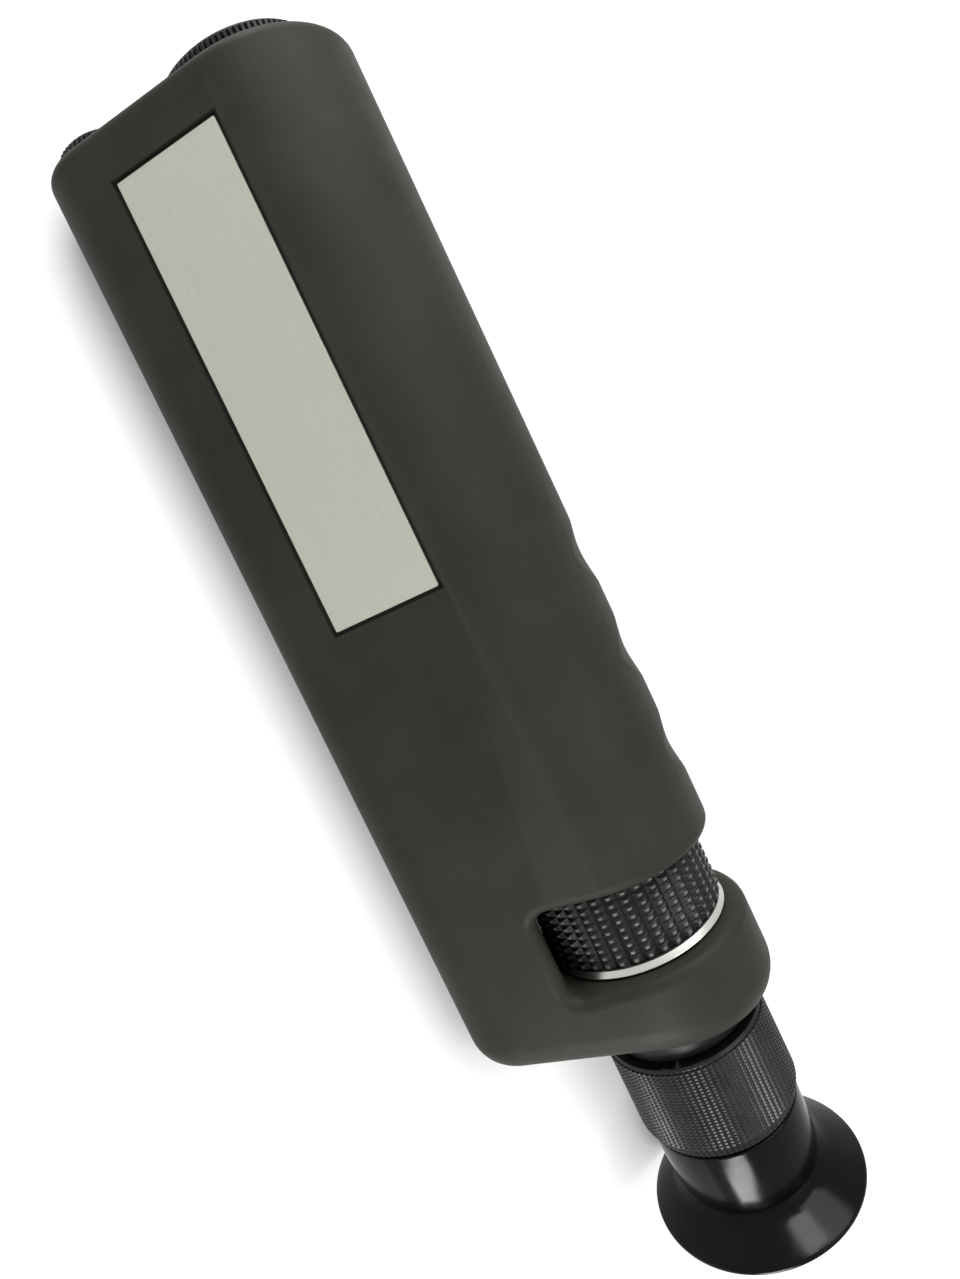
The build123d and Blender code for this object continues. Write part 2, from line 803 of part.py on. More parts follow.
with BuildPart() as eye_lens:
    with BuildSketch(optic_section):
        lens_outline(lens_seat, cup_eye_bore - seat_gap, lens_thickness)
    revolve(axis=optic_axis)

with BuildPart() as eye_lens_ring:
    with BuildSketch(across_optics(eye_ring_start)):
        ring_outline(cup_eye_bore - seat_gap, cup_eye_bore - ring_wall)
    extrude(amount=ring_thickness)

# Cells in line, with their contacts and cap
with BuildPart() as cells:
    for number in range(cell_count):
        cell_base = cell_start + number * cell_length
        with BuildSketch(across_cells(cell_base)):
            Circle(cell_radius)
        extrude(amount=cell_length - cell_nub_height)
        with BuildSketch(across_cells(cell_base + cell_length - cell_nub_height)):
            Circle(cell_nub_radius)
        extrude(amount=cell_nub_height - seat_gap)

with BuildPart() as inner_contact:
    with BuildSketch(across_cells(cell_start + cell_count * cell_length)):
        Circle(battery_bore - seat_gap)
    extrude(amount=contact_thickness)

with BuildPart() as cap_contact:
    with BuildSketch(across_cells(cell_start - seat_gap)):
        Circle(contact_radius)
    extrude(amount=-contact_thickness)

spring_floor = cover_wall + cap_floor
spring_top = cell_start - seat_gap - contact_thickness
spring_height = spring_top - spring_floor - 2 * cap_wire_radius - 2 * seat_gap
cap_spring_path = Helix(
    pitch=spring_height / cap_spring_turns,
    height=spring_height,
    radius=cap_spring_radius,
    center=(station(spring_floor + cap_wire_radius + seat_gap), battery_y, battery_lobe_radius),
    direction=(1, 0, 0),
)
with BuildPart() as cap_spring:
    with BuildSketch(Plane(origin=cap_spring_path @ 0, z_dir=cap_spring_path % 0)):
        Circle(cap_wire_radius)
    sweep(path=cap_spring_path, is_frenet=True)

seal_distance = cover_wall + seal_inset
seal_middle = plug_radius - seal_radius + seal_stand
with BuildPart() as battery_cap:
    with BuildSketch(across_cells(-cap_stand)):
        knurled_outline(cap_radius, cap_knurl_count, fine_knurl_depth)
    extrude(amount=cap_stand + cover_wall)
    with BuildSketch(across_cells(cover_wall)):
        Circle(plug_radius)
    extrude(amount=plug_length)
    with BuildSketch(across_cells(spring_floor)):
        Circle(cap_spring_radius + 3 * cap_wire_radius)
    extrude(amount=reach, mode=Mode.SUBTRACT)
    with BuildSketch(battery_section):
        turned_outline(
            (seal_distance - seal_radius - seat_gap, seal_middle - seal_radius - seat_gap),
            (seal_distance - seal_radius - seat_gap, battery_bore),
            (seal_distance + seal_radius + seat_gap, battery_bore),
            (seal_distance + seal_radius + seat_gap, seal_middle - seal_radius - seat_gap),
        )
    revolve(axis=battery_axis, mode=Mode.SUBTRACT)

with BuildPart() as cap_seal:
    with BuildSketch(battery_section):
        with Locations((station(seal_distance), seal_middle)):
            Circle(seal_radius)
    revolve(axis=battery_axis)

# Power button, switch and switch board
with BuildPart() as power_button:
    with BuildSketch(lower_flat.offset(button_sink)):
        with Locations((station(button_distance), -button_across)):
            Circle(button_radius)
    extrude(amount=cover_wall + cover_gap - button_sink + running_gap)
    fillet(power_button.faces().sort_by(Axis.Z)[0].edges(), radius=button_round)
    with BuildSketch(lower_flat.offset(cover_wall + cover_gap + running_gap)):
        with Locations((station(button_distance), -button_across)):
            Circle(button_flange_radius)
    extrude(amount=button_flange)
    with BuildSketch(lower_flat.offset(cover_wall + cover_gap + running_gap + button_flange)):
        with Locations((station(button_distance), -button_across)):
            Circle(stem_radius)
    extrude(amount=stem_length)

with BuildPart() as power_switch:
    with BuildSketch(lower_flat.offset(switch_floor)):
        with Locations((station(button_distance), -button_across)):
            Rectangle(switch_size, switch_size)
    extrude(amount=switch_height)
    with BuildSketch(lower_flat.offset(switch_floor)):
        with Locations((station(button_distance), -button_across)):
            Circle(stem_radius + running_gap)
    extrude(amount=switch_height - 2 * free_gap, mode=Mode.SUBTRACT)

with BuildPart() as switch_board:
    with BuildSketch(lower_flat.offset(board_base)):
        with Locations((station(button_distance), -button_across)):
            Rectangle(switch_board_length, switch_board_width)
    extrude(amount=switch_board_thickness)

pieces = {
    "grip_cover": grip_cover,
    "name_plate": name_plate,
    "housing_upper": housing_upper,
    "housing_lower": housing_lower,
    "housing_screws": housing_screws,
    "optical_tube": optical_tube,
    "adapter_socket": adapter_socket,
    "ferrule_adapter": ferrule_adapter,
    "adapter_nut": adapter_nut,
    "lamp_board": lamp_board,
    "lamps": lamps,
    "objective_barrel": objective_barrel,
    "front_lens": front_lens,
    "rear_lens": rear_lens,
    "rear_lens_ring": rear_lens_ring,
    "focus_carrier": focus_carrier,
    "guide_pin": guide_pin,
    "focus_ring": focus_ring,
    "focus_trim_ring": focus_trim_ring,
    "eyepiece_barrel": eyepiece_barrel,
    "field_lens": field_lens,
    "field_lens_ring": field_lens_ring,
    "sleeve_snap_ring": sleeve_snap_ring,
    "eyepiece_sleeve": eyepiece_sleeve,
    "eyecup": eyecup,
    "eye_lens": eye_lens,
    "eye_lens_ring": eye_lens_ring,
    "cells": cells,
    "inner_contact": inner_contact,
    "cap_contact": cap_contact,
    "cap_spring": cap_spring,
    "battery_cap": battery_cap,
    "cap_seal": cap_seal,
    "power_button": power_button,
    "power_switch": power_switch,
    "switch_board": switch_board,
}
os.makedirs("parts", exist_ok=True)
for name, piece in pieces.items():
    piece.part.label = name
    export_step(piece.part, f"parts/{name}.step")
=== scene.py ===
import bpy
import json
from math import cos, pi, radians, sin
from mathutils import Matrix, Vector


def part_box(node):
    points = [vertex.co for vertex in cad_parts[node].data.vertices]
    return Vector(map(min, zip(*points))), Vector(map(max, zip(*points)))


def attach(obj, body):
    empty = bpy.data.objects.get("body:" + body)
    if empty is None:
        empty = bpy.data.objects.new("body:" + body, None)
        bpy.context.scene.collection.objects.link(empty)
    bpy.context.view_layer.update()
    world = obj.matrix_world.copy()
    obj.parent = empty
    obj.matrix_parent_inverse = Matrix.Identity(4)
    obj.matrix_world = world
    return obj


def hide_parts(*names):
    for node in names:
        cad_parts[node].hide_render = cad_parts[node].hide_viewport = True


# A hand-held fibre microscope lying on its flat, in metres. Its optical axis runs along X, with
# the eyecup at the far end of X. Pieces that need a finer cut than the solids have are made
# again here, and all others keep the CAD's shape and get a finish.

MM = 0.001

# How finely round pieces and their corners are divided, and the share of an edge that one
# rounded corner may use up
ROUND_STEPS = 192
CORNER_STEPS = 5
CORNER_SHARE = 0.45

# The usual broken edge of a turned piece, how far a plain core lies under the grooves cut in
# it, and the bore of all that runs on the 12 mm tubes
EDGE = 0.1 * MM
CORE_DROP = 0.05 * MM
RUNNING_BORE = 12.08 * MM

# Knurls: how many ribs go round, and how deep they and the notches across them are
FOCUS_COLUMNS = 40
FOCUS_ROWS = 9
FOCUS_KNURL_DEPTH = 0.7 * MM
FOCUS_NOTCH = 0.3 * MM
SLEEVE_COLUMNS = 90
SLEEVE_ROW_PITCH = 0.56 * MM
SLEEVE_KNURL_DEPTH = 0.25 * MM
SLEEVE_NOTCH = 0.1 * MM
NUT_COLUMNS = 92
NUT_KNURL_DEPTH = 0.35 * MM
CAP_COLUMNS = 42
CAP_KNURL_DEPTH = 0.3 * MM

# The flat share of a row and of a column, at the top of each knurl's ribs
FOCUS_LANDS = (0.24, 0.20)
SLEEVE_LANDS = (0.5, 0.4)
STRAIGHT_LANDS = (0.95, 0.42)

# Name of the mesh value, 1 on knurl crests, that pales them: partly wear, partly painted glints
CREST = "crest"

# Bare plate, as cut from sheet
PLATE_WIDTH = 17.0 * MM
PLATE_THICKNESS = 0.5 * MM
PLATE_BEVEL = 0.08 * MM
PLATE_CORNER = 0.25 * MM
PLATE_CORNER_STEPS = 6

# The photograph's viewpoint, with its directions to the right, down and ahead
CAMERA_PLACE = Vector((-19.95, -59.98, 129.69)) * MM
CAMERA_RIGHT = Vector((0.43218, 0.79033, 0.43428))
CAMERA_DOWN = Vector((0.89939, -0.41285, -0.14370))
CAMERA_AHEAD = Vector((0.06572, 0.45269, -0.88924))
SENSOR_WIDTH = 36.0
FOCAL_LENGTH = 22.93
SHIFT_RIGHT = 0.039
SHIFT_UP = -0.023

TABLE_HALF = 3.0
AMBIENT_STRENGTH = 0.12

# Where the lamps aim, and each lamp's name, target, direction, distance, width, height, watts
HEAD_END = Vector((-0.05, 0, 0.02))
CUP_END = Vector((0.08, 0, 0.02))
LAMPS = (
    ("window_behind", CUP_END, (-0.92, 0.03, 0.40), 0.70, 0.20, 0.20, 2.6),
    ("window_beside", CUP_END, (0.72, -0.55, 0.42), 0.26, 0.06, 0.12, 0.80),
    ("window_above_grip", HEAD_END, (-0.70, 0.38, 0.60), 0.62, 0.32, 0.32, 2.3),
    ("ceiling", HEAD_END, (0.03, 0.14, 0.73), 1.0, 0.50, 0.50, 2.0),
)

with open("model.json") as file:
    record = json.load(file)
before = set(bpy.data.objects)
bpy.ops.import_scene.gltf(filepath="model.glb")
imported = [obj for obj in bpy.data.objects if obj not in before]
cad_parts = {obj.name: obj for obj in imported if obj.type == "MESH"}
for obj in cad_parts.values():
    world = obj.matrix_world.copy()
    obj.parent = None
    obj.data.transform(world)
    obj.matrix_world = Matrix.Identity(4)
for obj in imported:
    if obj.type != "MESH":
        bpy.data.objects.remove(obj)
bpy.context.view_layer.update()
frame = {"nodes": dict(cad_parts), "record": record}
nodes = frame["nodes"]


# Helpers for colours and materials

def linear(hex_colour):
    """An sRGB hex colour as the linear RGBA that shader sockets take."""
    channels = []
    for start in (0, 2, 4):
        value = int(hex_colour[start:start + 2], 16) / 255
        if value <= 0.04045:
            channels.append(value / 12.92)
        else:
            channels.append(((value + 0.055) / 1.055) ** 2.4)
    return (*channels, 1.0)


def per_size(size_mm):
    """Scale of a noise or wave whose features are that many millimetres across."""
    return 1000.0 / size_mm


def add_node(tree, kind, inputs=(), **settings):
    """Adds a node, sets its properties, and sets or links its inputs."""
    made = tree.nodes.new(kind)
    for name, value in settings.items():
        setattr(made, name, value)
    for key, value in dict(inputs).items():
        if isinstance(value, bpy.types.NodeSocket):
            tree.links.new(value, made.inputs[key])
        else:
            made.inputs[key].default_value = value
    return made


def new_material(name):
    """A material without nodes, its node tree, and the place on the piece as a socket."""
    material = bpy.data.materials.new(name)
    material.use_nodes = True
    tree = material.node_tree
    tree.nodes.clear()
    place = add_node(tree, "ShaderNodeTexCoord").outputs["Object"]
    return material, tree, place


def surfaced(material, inputs):
    """Ends a material with its surface, from numbers and from other nodes' sockets."""
    tree = material.node_tree
    surface = add_node(tree, "ShaderNodeBsdfPrincipled", inputs)
    add_node(tree, "ShaderNodeOutputMaterial", {"Surface": surface.outputs["BSDF"]})
    return material


def shaded(tree, pattern, low, dark, high, light):
    """Colour that goes from dark to light while the pattern's value goes from low to high."""
    share = add_node(tree, "ShaderNodeMapRange", {
        "Value": pattern, "From Min": low, "From Max": high})
    return blended(tree, share.outputs["Result"], linear(dark), linear(light))


def blended(tree, share, first, second):
    """The first colour where the share is 0, and the second where it is 1."""
    mix = add_node(tree, "ShaderNodeMix", {
        "Factor": share, 6: first, 7: second}, data_type="RGBA")
    return mix.outputs[2]


# Materials

def soft_touch_rubber():
    """Moulded elastomer with a spark-eroded grain: matt, with a very broad highlight, and faint
    handling marks that change the sheen and not the colour."""
    material, tree, place = new_material("soft_touch_rubber")
    cloud = add_node(tree, "ShaderNodeTexNoise", {
        "Vector": place, "Scale": per_size(14), "Detail": 4.0})
    colour = shaded(tree, cloud.outputs["Fac"], 0.30, "252721", 0.70, "2e2f29")
    # Paler on its sharpest convex edges, towards a lit grey: partly wear, partly painted
    # highlight.
    convex = add_node(tree, "ShaderNodeNewGeometry").outputs["Pointiness"]
    wear_and_highlight = add_node(tree, "ShaderNodeMapRange", {
        "Value": convex, "From Min": 0.52, "From Max": 0.60, "To Min": 0.0, "To Max": 0.35})
    rubbing_and_sheen = add_node(tree, "ShaderNodeTexNoise", {
        "Vector": place, "Scale": per_size(6), "Detail": 6.0, "Roughness": 0.6})
    sheen = add_node(tree, "ShaderNodeMapRange", {
        "Value": rubbing_and_sheen.outputs["Fac"],
        "From Min": 0.3, "From Max": 0.7, "To Min": 0.50, "To Max": 0.60})
    grain = add_node(tree, "ShaderNodeTexNoise", {
        "Vector": place, "Scale": per_size(0.35), "Detail": 3.0, "Roughness": 0.7})
    bump = add_node(tree, "ShaderNodeBump", {
        "Height": grain.outputs["Fac"], "Strength": 0.35, "Distance": 0.04 * MM})
    return surfaced(material, {
        "Base Color": blended(tree, wear_and_highlight.outputs["Result"], colour, linear("3b3c35")),
        "Roughness": sheen.outputs["Result"], "Normal": bump.outputs["Normal"],
        "IOR": 1.5, "Specular IOR Level": 0.12})


def satin_anodised_plate():
    """Aluminium sheet, brushed lengthwise and clear anodised: fine streaks under a soft
    reflection. The brushing is drawn coarser than the real 0.05 mm so that it shows."""
    material, tree, place = new_material("satin_anodised_plate")
    stretched = add_node(tree, "ShaderNodeMapping", {"Vector": place, "Scale": (0.02, 1.0, 1.0)})
    brushing = add_node(tree, "ShaderNodeTexNoise", {
        "Vector": stretched.outputs["Vector"],
        "Scale": per_size(0.16), "Detail": 4.0, "Roughness": 0.6})
    sheen = add_node(tree, "ShaderNodeMapRange", {
        "Value": brushing.outputs["Fac"],
        "From Min": 0.3, "From Max": 0.7, "To Min": 0.44, "To Max": 0.50})
    bump = add_node(tree, "ShaderNodeBump", {
        "Height": brushing.outputs["Fac"], "Strength": 0.08, "Distance": 0.01 * MM})
    return surfaced(material, {
        "Base Color": shaded(tree, brushing.outputs["Fac"], 0.25, "aeaea3", 0.75, "b8b8ac"),
        "Roughness": sheen.outputs["Result"], "Normal": bump.outputs["Normal"],
        "Metallic": 0.5})


def black_anodised(name, dark, light, wear_and_highlight, roughness):
    """Turned aluminium, black anodised: a dull metallic black with turning marks along it, paler
    on its edges and on marked knurl crests, partly as wear and partly as painted glints."""
    material, tree, place = new_material(name)
    cloud = add_node(tree, "ShaderNodeTexNoise", {
        "Vector": place, "Scale": per_size(3), "Detail": 5.0})
    colour = shaded(tree, cloud.outputs["Fac"], 0.35, dark, 0.65, light)
    # Sharp convex edges turn pale: partly worn metal, partly painted glints.
    convex = add_node(tree, "ShaderNodeNewGeometry").outputs["Pointiness"]
    edge = add_node(tree, "ShaderNodeMapRange", {
        "Value": convex, "From Min": 0.54, "From Max": 0.66, "To Min": 0.0, "To Max": 0.75})
    # Marked knurl crests turn pale too: partly worn metal, partly painted glints.
    crest = add_node(tree, "ShaderNodeAttribute", attribute_name=CREST)
    rubbing_and_sheen = add_node(tree, "ShaderNodeMapRange", {
        "Value": crest.outputs["Fac"],
        "From Min": 0.75, "From Max": 1.0, "To Min": 0.0, "To Max": 0.32})
    wear_and_highlight_share = add_node(tree, "ShaderNodeMath", {
        0: edge.outputs["Result"], 1: rubbing_and_sheen.outputs["Result"]}, operation="MAXIMUM")
    marks = add_node(tree, "ShaderNodeTexWave", {
        "Vector": place, "Scale": per_size(0.3) / 2, "Distortion": 0.6, "Detail": 2.0},
        wave_type="BANDS", bands_direction="X")
    bump = add_node(tree, "ShaderNodeBump", {
        "Height": marks.outputs["Fac"], "Strength": 0.12, "Distance": 0.01 * MM})
    return surfaced(material, {
        "Base Color": blended(tree, wear_and_highlight_share.outputs[0], colour, linear(wear_and_highlight)),
        "Normal": bump.outputs["Normal"],
        "Metallic": 0.35, "Roughness": roughness, "Specular IOR Level": 0.25})


def bright_turned_aluminium():
    """Machined aluminium left bright: sharp bands of light with fine turning marks."""
    material, tree, place = new_material("bright_turned_aluminium")
    marks = add_node(tree, "ShaderNodeTexWave", {
        "Vector": place, "Scale": per_size(0.15) / 2, "Distortion": 0.4, "Detail": 2.0},
        wave_type="BANDS", bands_direction="X")
    bump = add_node(tree, "ShaderNodeBump", {
        "Height": marks.outputs["Fac"], "Strength": 0.15, "Distance": 0.006 * MM})
    return surfaced(material, {
        "Base Color": shaded(tree, marks.outputs["Fac"], 0.2, "b6b7b0", 0.8, "c6c7c0"),
        "Normal": bump.outputs["Normal"], "Metallic": 1.0, "Roughness": 0.28})


def clouded_metal(name, dark, light, roughness, cloud_mm):
    """Metal that was drawn, stamped or turned: a smooth skin, clouded a little with age."""
    material, tree, place = new_material(name)
    cloud = add_node(tree, "ShaderNodeTexNoise", {
        "Vector": place, "Scale": per_size(cloud_mm), "Detail": 4.0})
    return surfaced(material, {
        "Base Color": shaded(tree, cloud.outputs["Fac"], 0.35, dark, 0.65, light),
        "Metallic": 1.0, "Roughness": roughness})


def nickel_plated_brass():
    """Turned brass under nickel: a warm grey, fairly sharp in its reflections."""
    return clouded_metal("nickel_plated_brass", "b4b3ac", "c3c2bb", 0.25, 2)


def zinc_plated_steel():
    """Turned and wound steel of screws, pin and springs, under zinc: a cool grey."""
    return clouded_metal("zinc_plated_steel", "8f8f8d", "a3a3a0", 0.3, 1.5)


def contact_brass():
    """Stamped brass of the battery contacts, left yellow."""
    return clouded_metal("contact_brass", "a6884a", "b99a5c", 0.3, 1.5)


def polished_black_plastic():
    """Moulded black plastic with a polished skin: deep black, soft-edged reflections, and fine
    rubbing marks that show only in them."""
    material, tree, place = new_material("polished_black_plastic")
    cloud = add_node(tree, "ShaderNodeTexNoise", {
        "Vector": place, "Scale": per_size(9), "Detail": 3.0})
    rubbing_and_sheen = add_node(tree, "ShaderNodeTexNoise", {
        "Vector": place, "Scale": per_size(1.2), "Detail": 6.0, "Roughness": 0.65})
    sheen = add_node(tree, "ShaderNodeMapRange", {
        "Value": rubbing_and_sheen.outputs["Fac"],
        "From Min": 0.35, "From Max": 0.75, "To Min": 0.14, "To Max": 0.21})
    return surfaced(material, {
        "Base Color": shaded(tree, cloud.outputs["Fac"], 0.35, "080908", 0.65, "0b0c0b"),
        "Roughness": sheen.outputs["Result"], "IOR": 1.5, "Specular IOR Level": 0.08})


def coated_glass():
    """Ground and polished optical glass, coated: clear, and faintly violet at a glance."""
    material, tree, _ = new_material("coated_glass")
    facing = add_node(tree, "ShaderNodeLayerWeight", {"Blend": 0.3}).outputs["Facing"]
    return surfaced(material, {
        "Base Color": shaded(tree, facing, 0.0, "f4f6f8", 0.9, "d8d2ea"),
        "IOR": 1.52, "Roughness": 0.02, "Transmission Weight": 1.0})


def lamp_epoxy():
    """Cast clear epoxy of a small lamp, a little milky."""
    material, tree, _ = new_material("lamp_epoxy")
    facing = add_node(tree, "ShaderNodeLayerWeight", {"Blend": 0.4}).outputs["Facing"]
    return surfaced(material, {
        "Base Color": shaded(tree, facing, 0.0, "fbfbf4", 0.9, "e8e6d2"),
        "IOR": 1.54, "Roughness": 0.08, "Transmission Weight": 0.6})


def textured_satin(name, dark, light):
    """A plain, slightly uneven satin with a light texture pressed into it."""
    material, tree, place = new_material(name)
    cloud = add_node(tree, "ShaderNodeTexNoise", {
        "Vector": place, "Scale": per_size(8), "Detail": 4.0})
    grain = add_node(tree, "ShaderNodeTexNoise", {
        "Vector": place, "Scale": per_size(0.3), "Detail": 2.0})
    bump = add_node(tree, "ShaderNodeBump", {
        "Height": grain.outputs["Fac"], "Strength": 0.2, "Distance": 0.02 * MM})
    return surfaced(material, {
        "Base Color": shaded(tree, cloud.outputs["Fac"], 0.35, dark, 0.65, light),
        "Normal": bump.outputs["Normal"], "IOR": 1.53, "Roughness": 0.5})


def black_abs():
    """Injection moulded ABS of the housing and the switch."""
    return textured_satin("black_abs", "1b1b1b", "222222")


def green_laminate():
    """Pressed glass cloth and epoxy of the circuit boards, under a green mask."""
    return textured_satin("green_laminate", "1a4529", "205233")


def cell_film():
    """Shrunk film round the cells: dark, with the film's own faint unevenness."""
    return textured_satin("cell_film", "26262c", "303038")


def nitrile_rubber():
    """Moulded nitrile of the cap's seal: a dull black."""
    return textured_satin("nitrile_rubber", "131313", "191919")


def button_silicone():
    """Moulded silicone: matt, a little darker than the grip."""
    material, tree, place = new_material("button_silicone")
    cloud = add_node(tree, "ShaderNodeTexNoise", {
        "Vector": place, "Scale": per_size(2), "Detail": 4.0})
    return surfaced(material, {
        "Base Color": shaded(tree, cloud.outputs["Fac"], 0.35, "22221f", 0.65, "2b2b28"),
        "IOR": 1.43, "Roughness": 0.6})


finishes = {
    "rubber_cover": soft_touch_rubber(),
    "brushed_plate": satin_anodised_plate(),
    "shell_plastic": black_abs(),
    "screw_steel": zinc_plated_steel(),
    # Pale edges: partly worn metal, partly painted glints.
    "black_aluminium": black_anodised(
        "black_anodised_aluminium", dark="161717", light="1e1f1f", wear_and_highlight="4a4b4b", roughness=0.40),
    "adapter_metal": nickel_plated_brass(),
    "board_laminate": green_laminate(),
    "lamp_lens": lamp_epoxy(),
    "optical_glass": coated_glass(),
    # Pale crests and edges: partly worn metal, partly painted glints.
    "knurled_black": black_anodised(
        "knurled_black_anodised", dark="1e1f1e", light="272827", wear_and_highlight="a9aaa5", roughness=0.36),
    "bright_trim": bright_turned_aluminium(),
    "gloss_black": polished_black_plastic(),
    "cell_jacket": cell_film(),
    "contact_brass": contact_brass(),
    "seal_rubber": nitrile_rubber(),
    "button_rubber": button_silicone(),
}
slot_of = {part["node"]: part["material_slot"] for part in frame["record"]["subparts"]}
for name, node in nodes.items():
    node.data.materials.clear()
    node.data.materials.append(finishes[slot_of[name]])


# Turned and knurled pieces

def dressed(name, mesh, node, slot, body):
    """Makes a mesh the piece that stands for a CAD node, with its finish, riding on its body."""
    mesh.materials.append(finishes[slot])
    piece = bpy.data.objects.new(name, mesh)
    bpy.context.scene.collection.objects.link(piece)
    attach(piece, body)
    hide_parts(node)


class Turned:
    """Mesh of a piece turned about an axis parallel to X. It lies in the box of the CAD node
    that it stands for."""

    def __init__(self, node):
        low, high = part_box(node)
        self.node = node
        self.start = low.x
        self.end = high.x
        self.y = (low.y + high.y) / 2
        self.z = (low.z + high.z) / 2
        self.radius = (high.z - low.z) / 2
        self.points = []
        self.faces = []
        self.crests = []

    def point(self, x, radius, angle):
        self.points.append((x, self.y + radius * cos(angle), self.z + radius * sin(angle)))
        return len(self.points) - 1

    def ring(self, x, radius, count, phase=0.0):
        """Points round the axis, turned on by phase, a share of the step between them."""
        return [self.point(x, radius, 2 * pi * (index + phase) / count)
                for index in range(count)]

    def join(self, first, second):
        """Faces between two rings with as many points each."""
        count = len(first)
        for index in range(count):
            after = (index + 1) % count
            self.faces.append((first[index], second[index], second[after], first[after]))

    def turn(self, profile, steps=ROUND_STEPS):
        """Closed surface turned from a closed profile of (x, radius)."""
        rings = [self.ring(x, radius, steps) for x, radius in profile]
        for first, second in zip(rings, rings[1:] + rings[:1]):
            self.join(first, second)

    def knurl(self, borders, radii, columns, cut, notch, lands, root, wear_and_highlight=False):
        """Closed band of ribs along X, notched across: the rows' borders along X, the radius over
        the ribs at each, the depth of the grooves and of the notches, the flat share of a row
        and of a column, the radius of the band's hidden inner wall, and whether its crest points
        are marked for pale worn metal and painted glints."""
        row_land, column_land = lands
        row_inset = (1 - row_land) / 2
        column_inset = (1 - column_land) / 2
        valleys = [self.ring(x, radius - cut, columns) for x, radius in zip(borders, radii)]
        notches = [self.ring(x, radius - notch, columns, 0.5)
                   for x, radius in zip(borders, radii)]
        inner = [self.ring(x, root, columns) for x in (borders[0], borders[-1])]
        for row in range(len(borders) - 1):
            low, high = borders[row], borders[row + 1]
            tops = []
            for share in (row_inset, 1 - row_inset):
                x = low + (high - low) * share
                radius = radii[row] + (radii[row + 1] - radii[row]) * share
                tops.append(self.ring(x, radius, columns, column_inset))
                tops.append(self.ring(x, radius, columns, 1 - column_inset))
            for column in range(columns):
                after = (column + 1) % columns
                left_low, right_low, left_high, right_high = [ring[column] for ring in tops]
                # Crest points take pale worn metal and painted glints in the finish.
                if wear_and_highlight:
                    self.crests += [left_low, right_low, left_high, right_high]
                near, far = valleys[row], valleys[row + 1]
                near_notch, far_notch = notches[row][column], notches[row + 1][column]
                self.faces += [
                    (left_low, left_high, right_high, right_low),
                    (near[column], far[column], left_high, left_low),
                    (far[after], near[after], right_low, right_high),
                    (near[column], left_low, near_notch),
                    (near_notch, left_low, right_low),
                    (near[after], near_notch, right_low),
                    (far[column], far_notch, left_high),
                    (far_notch, right_high, left_high),
                    (far[after], right_high, far_notch)]
        for column in range(columns):
            after = (column + 1) % columns
            self.faces.append((valleys[0][after], valleys[0][column], notches[0][column]))
            self.faces.append((valleys[-1][column], valleys[-1][after], notches[-1][column]))
        self.join(inner[0], valleys[0])
        self.join(valleys[-1], inner[1])
        self.join(inner[1], inner[0])

    def finish(self, name, slot, body, smooth_angle):
        """Makes the piece, smooth where its faces meet at less than smooth_angle degrees."""
        mesh = bpy.data.meshes.new(name)
        mesh.from_pydata(self.points, [], self.faces)
        mesh.validate()
        mesh.polygons.foreach_set("use_smooth", [True] * len(mesh.polygons))
        mesh.set_sharp_from_angle(angle=radians(smooth_angle))
        crest = mesh.attributes.new(CREST, "FLOAT", "POINT")
        for index in self.crests:
            crest.data[index].value = 1.0
        dressed(name, mesh, self.node, slot, body)


def eased(profile):
    """Closed profile of (x, radius, rounding) with its corners rounded off."""
    points = []
    count = len(profile)
    for index, (x, radius, rounding) in enumerate(profile):
        if rounding <= 0:
            points.append((x, radius))
            continue
        here = Vector((x, radius))
        before = Vector(profile[index - 1][:2]) - here
        after = Vector(profile[(index + 1) % count][:2]) - here
        first = here + before.normalized() * min(rounding, before.length * CORNER_SHARE)
        last = here + after.normalized() * min(rounding, after.length * CORNER_SHARE)
        for step in range(CORNER_STEPS + 1):
            share = step / CORNER_STEPS
            spot = first * (1 - share) ** 2 + here * 2 * share * (1 - share) + last * share ** 2
            points.append((spot.x, spot.y))
    return points


def evenly(first, last, rows):
    """Borders of that many equal rows."""
    return [first + (last - first) * row / rows for row in range(rows + 1)]


def focus_ring():
    """Ring of rows of square points, with a plain rim beside the bright ring."""
    piece = Turned("focus_ring")
    core = piece.radius - FOCUS_KNURL_DEPTH - 0.15 * MM
    rim = piece.radius - 0.35 * MM
    first = piece.start + 0.25 * MM
    last = piece.end - 0.3 * MM
    rim_start = last + 0.05 * MM
    rim_edge = 0.05 * MM
    piece.turn(eased((
        (piece.start, RUNNING_BORE, EDGE), (piece.start, core, EDGE),
        (rim_start, core, 0), (rim_start, rim, rim_edge),
        (piece.end, rim, rim_edge), (piece.end, RUNNING_BORE, 0))))
    borders = evenly(first, last, FOCUS_ROWS)
    # Its crests are marked for pale worn metal and painted glints.
    piece.knurl(borders, [piece.radius] * len(borders), FOCUS_COLUMNS, FOCUS_KNURL_DEPTH,
                FOCUS_NOTCH, FOCUS_LANDS, RUNNING_BORE + 0.4 * MM, wear_and_highlight=True)
    piece.finish("focus_ring_knurled", "knurled_black", "focus_ring", 20)


def focus_trim_ring():
    """Bright ring that flares outwards towards the eyepiece, so that its cone faces the grip."""
    piece = Turned("focus_trim_ring")
    cone_foot = piece.radius - 0.55 * MM
    cone_end = piece.start + 0.82 * MM
    piece.turn(eased((
        (piece.start, RUNNING_BORE, 0), (piece.start, cone_foot, 0.05 * MM),
        (cone_end, piece.radius, EDGE), (piece.end, piece.radius, 0.08 * MM),
        (piece.end, RUNNING_BORE, EDGE))), steps=2 * ROUND_STEPS)
    piece.finish("focus_trim_turned", "bright_trim", "focus_ring", 30)


